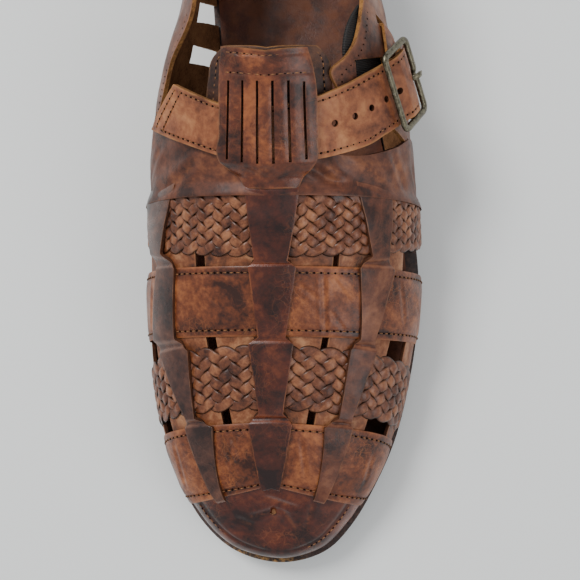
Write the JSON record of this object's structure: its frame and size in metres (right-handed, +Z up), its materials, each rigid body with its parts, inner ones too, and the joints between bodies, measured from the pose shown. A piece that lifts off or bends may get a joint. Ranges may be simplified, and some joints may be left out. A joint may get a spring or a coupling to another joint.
{
  "type": "fisherman sandal",
  "caption": "Left fisherman sandal with a woven leather strap vamp, plain toe cap, slit instep flap and a buckled ankle strap on a low-heeled sole.",
  "frame": {"origin": "centre of the heel's flat underside, on the floor", "axes": "+Z up, toe towards -Y, buckle side (lateral) towards +X"},
  "size_m": [0.1096, 0.2908, 0.1023],
  "materials": {
    "heel_stack": "dark stacked leather with a burnished edge",
    "outsole_rubber": "dark brown rubber, matt",
    "welt_leather": "dark brown edge-stained leather",
    "insole_leather": "smooth dark red-brown leather",
    "upper_leather": "burnished pull-up leather, glossy, mottled brown",
    "tongue_leather": "smooth brown leather with a raw edge",
    "strap_leather": "lighter tan-brown leather with raw edges",
    "buckle_metal": "antique dull brass, worn grey on the edges",
    "elastic": "black woven elastic"
  },
  "bodies": {
    "root": {"heel": "heel_stack", "outsole": "outsole_rubber", "midsole": "welt_leather", "insole": "insole_leather", "upper": "upper_leather", "tongue": "tongue_leather", "ankle_strap": "strap_leather", "buckle_frame": "buckle_metal", "buckle_prong": "buckle_metal", "buckle_tab": "strap_leather", "elastic_gore": "elastic"}
  },
  "joints": []
}
